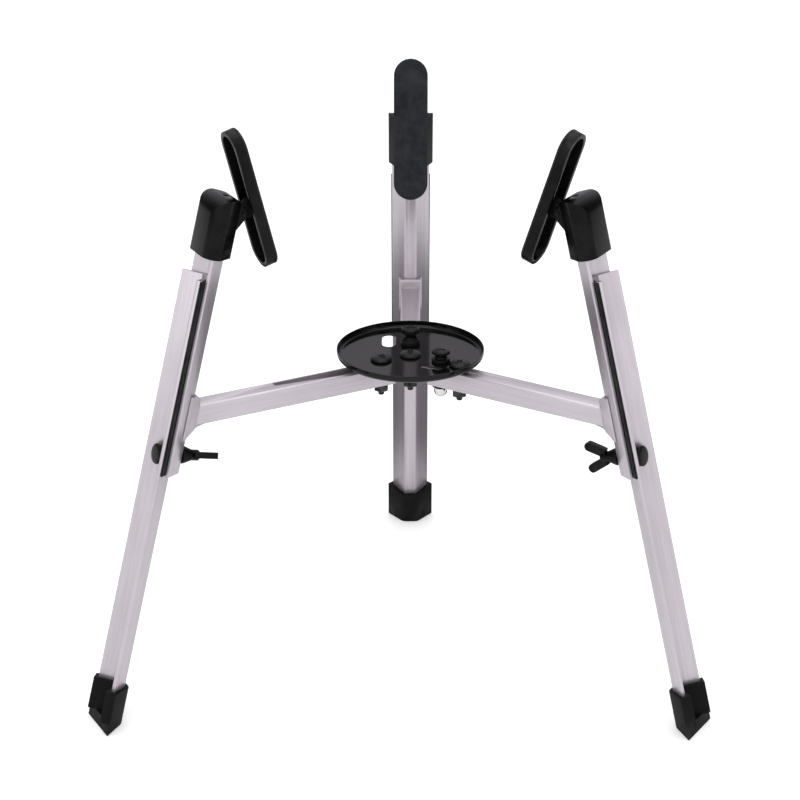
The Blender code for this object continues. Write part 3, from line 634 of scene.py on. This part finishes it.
def disc_knob(node, plastic, ribs):
    """Two-disc knob turned fine, with ribs round its upper disc."""
    low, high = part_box(node)
    joint = JOINTS["rear_knob_spin" if node == "rear_knob" else "right_lock_spin"]
    x, y = joint["pos_m"][:2]
    big = (high.x - low.x) / 2
    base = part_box("tray")[0].z + SHEET + SEAT_GAP
    height = high.z - base
    disc = height * 0.26
    e = KNOB_BREAK
    profile = [(0.0, high.z - 0.0006), (big * 0.42, high.z - 0.0006), (big * 0.48, high.z)]
    profile += [(big * 0.80, high.z), (big * 0.91, high.z - disc * 0.18)]
    profile += [(big * 0.935, high.z - disc * 0.45)]
    profile += [(big * 0.935, high.z - disc + e), (big * 0.90, high.z - disc)]
    profile += arc((big * 0.88, (high.z + base) / 2), big * 0.28, radians(130), radians(230), 6)
    profile += [(big * 0.92, base + disc), (big - e, base + disc), (big, base + disc - e), (big, base + e)]
    profile += [(big - e, base), (SCREW_R, base), (SCREW_R, low.z + 0.0004)]
    profile += [(SCREW_R - 0.0004, low.z), (0.0, low.z)]
    knob = lathe(node + "_turned", profile, 56, Matrix.Translation((x, y, 0)))
    settle(knob, BODY_OF[node], SLOT_OF[node], plastic, node)
    rib = add_object(node + "_ribs", bpy.data.meshes.new(node + "_ribs"))
    run_tree(rib, ribs, {"Count": KNOB_RIBS, "Radius": big * 0.93, "Height": disc * 0.5,
                         "Width": big * 0.055, "Plastic": plastic})
    rib.data.transform(Matrix.Translation((x, y, high.z - disc * 0.72)))
    smooth(rib, 50)
    settle(rib, BODY_OF[node], SLOT_OF[node], plastic)


# ================================ the stand =======================================================
def build():
    plastic = moulded_plastic()
    rubber = shoe_rubber()
    facing = pad_rubber_finish()
    steel = blacked_steel()
    bright = polished_steel()
    lacquer = tray_lacquer()
    welded = welded_aluminium()
    beads = bead_tree()
    ribs = rib_tree()
    for side in SIDES:
        leg = leg_frame(side)
        up = Vector(leg.col[2][:3])
        away = Vector((leg.col[0][0], leg.col[0][1], 0.0)).normalized()
        leg_metal = satin_aluminium(side + "_leg_aluminium", up)
        arm_metal = satin_aluminium(side + "_arm_aluminium", away)
        dressed(side + "_lower_leg", leg_metal, 0.00035)
        dressed(side + "_post", leg_metal, 0.00035)
        dressed(side + "_arm", arm_metal, 0.00030)
        dressed(side + "_arm_saddle", welded, 0.00080, 3)
        # painted shade: the black liner fills the gap between post and lower leg, standing in for the shade of
        # that gap
        dressed(side + "_glide_liner", plastic, 0.00020, 1)
        dressed(side + "_post_cap", plastic, 0.00100, 3)
        dressed(side + "_pad_shell", plastic, 0.00060, 3)
        dressed(side + "_boot", rubber, 0.00100, 3)
        dressed(side + "_wing_nut", plastic, 0.00050, 2)
        dressed(side + "_clamp_saddle", plastic, 0.00030, 2)
        dressed(side + "_clamp_bolt", steel, 0.00020, 1)
        dressed(side + "_pad_pin", steel, 0.00020, 2)
        dressed(side + "_spacer", plastic, 0.00020, 1)
        pad_facing(side, facing)
        weld_bead(side, beads, welded)
        clamp = leg @ Matrix.Translation((0, 0, CLAMP_U)) @ Matrix.Rotation(-pi / 2, 4, "Y")
        screw_thread(side + "_clamp_thread", clamp, *SCREW_RANGE, SCREW_R, BODY_OF[side + "_post"], steel)
    for name in ("left_pivot", "centre", "right_pivot"):
        dressed(name + "_bolt", steel, 0.00025, 2)
        dressed(name + "_nut", steel, 0.00035, 2)
        middle = centre_of(name + "_bolt")
        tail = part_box(name + "_bolt")[0].z
        screw_thread(name + "_thread", Matrix.Translation((middle.x, middle.y, 0)), tail + 0.0006,
                     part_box(name + "_nut")[0].z, SCREW_R, "stand", steel)
    dressed("right_lock_washer", steel, 0.00025, 2)
    dressed("right_acorn_nut", bright, 0.00020, 2)
    tray_dish(lacquer)
    disc_knob("rear_knob", plastic, ribs)
    disc_knob("right_lock_knob", plastic, ribs)


# ================================ studio ==========================================================
def soft_lamp(name, place, target, size, power):
    data = bpy.data.lights.new(name, "AREA")
    data.shape = "RECTANGLE"
    data.size = size[0]
    data.size_y = size[1]
    data.energy = power
    lamp = bpy.data.objects.new(name, data)
    bpy.context.scene.collection.objects.link(lamp)
    lamp.location = place
    lamp.rotation_euler = (Vector(target) - Vector(place)).to_track_quat("-Z", "Y").to_euler()


def paper_floor():
    """White paper with a painted dark reflection: to polished faces it is dark behind the stand on either side."""
    corners = [(x * FLOOR_REACH, y * FLOOR_REACH, 0) for x, y in ((-1, -1), (1, -1), (1, 1), (-1, 1))]
    mesh = bpy.data.meshes.new("studio_floor")
    mesh.from_pydata(corners, [], [(0, 1, 2, 3)])
    floor = add_object("studio_floor", mesh)
    paper = bpy.data.materials.new("pale_paper_painted_reflection")
    paper.use_nodes = True
    tree = paper.node_tree
    shader = tree.nodes["Principled BSDF"]
    shader.inputs["Roughness"].default_value = 0.9
    shader.inputs["Specular IOR Level"].default_value = 0.1
    point = make(tree, "ShaderNodeNewGeometry")
    across = make(tree, "ShaderNodeSeparateXYZ", None, {"Vector": point}).math("ABSOLUTE")
    along = make(tree, "ShaderNodeSeparateXYZ", None, {"Vector": point}, 1)
    folded = make(tree, "ShaderNodeCombineXYZ", None, {"X": across, "Y": along})
    away = make(tree, "ShaderNodeVectorMath", {"operation": "DISTANCE"}, {0: folded, 1: PAINTED_REFLECTION_SPOT}, 1)
    glossy = make(tree, "ShaderNodeLightPath", output=3)
    # painted reflection: the dark patch is shown only to glossy rays, while the camera sees white paper
    painted_reflection_mask = (1.0 - away.clip(*PAINTED_REFLECTION_EDGE)) * glossy
    tree.links.new(mix(tree, painted_reflection_mask, PAPER, PAINTED_REFLECTION).socket, shader.inputs["Base Color"])
    seen = make(tree, "ShaderNodeLightPath", output=0)
    tree.links.new((seen * PAPER_GLOW).socket, shader.inputs["Emission Strength"])
    shader.inputs["Emission Color"].default_value = (1.0, 1.0, 1.0, 1.0)
    floor.data.materials.append(paper)
    floor.location.z = -0.0002


def studio():
    """Bright room with dark side walls and a greyer back wall, and two soft lamps."""
    paper_floor()
    world = bpy.data.worlds.new("studio_light")
    bpy.context.scene.world = world
    world.use_nodes = True
    tree = world.node_tree
    direction = make(tree, "ShaderNodeTexCoord")
    sideways = make(tree, "ShaderNodeSeparateXYZ", None, {"Vector": direction}).math("ABSOLUTE")
    behind = make(tree, "ShaderNodeSeparateXYZ", None, {"Vector": direction}, 1)
    dark = sideways.clip(0.30, 0.75) * behind.clip(-0.55, 0.0)
    back_wall = mix(tree, behind.clip(0.72, 0.93), ROOM, ROOM_BACK)
    walls = mix(tree, dark, back_wall, ROOM_SIDES)
    tree.links.new(walls.socket, tree.nodes["Background"].inputs["Color"])
    tree.nodes["Background"].inputs["Strength"].default_value = ROOM_STRENGTH
    soft_lamp("key", (-1.0, -2.6, 2.4), (0, 0, 0.3), (1.6, 1.6), 10.0)
    soft_lamp("top", (0.0, 0.4, 3.0), (0, 0, 0.3), (2.2, 2.2), 20.0)


def camera():
    """Camera in front of and above the stand, a little to the right of its tray."""
    low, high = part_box("tray")
    hub = Vector(((low.x + high.x) / 2, (low.y + high.y) / 2, 0.0))
    data = bpy.data.cameras.new("view")
    data.lens = LENS
    data.sensor_width = 36.0
    eye = bpy.data.objects.new("view", data)
    bpy.context.scene.collection.objects.link(eye)
    eye.location = hub + Vector(CAMERA_PLACE)
    eye.rotation_euler = (radians(90.0 - CAMERA_PITCH), 0.0, radians(CAMERA_YAW))
    bpy.context.scene.camera = eye


build()
studio()
camera()
bpy.context.scene.view_settings.view_transform = "Standard"
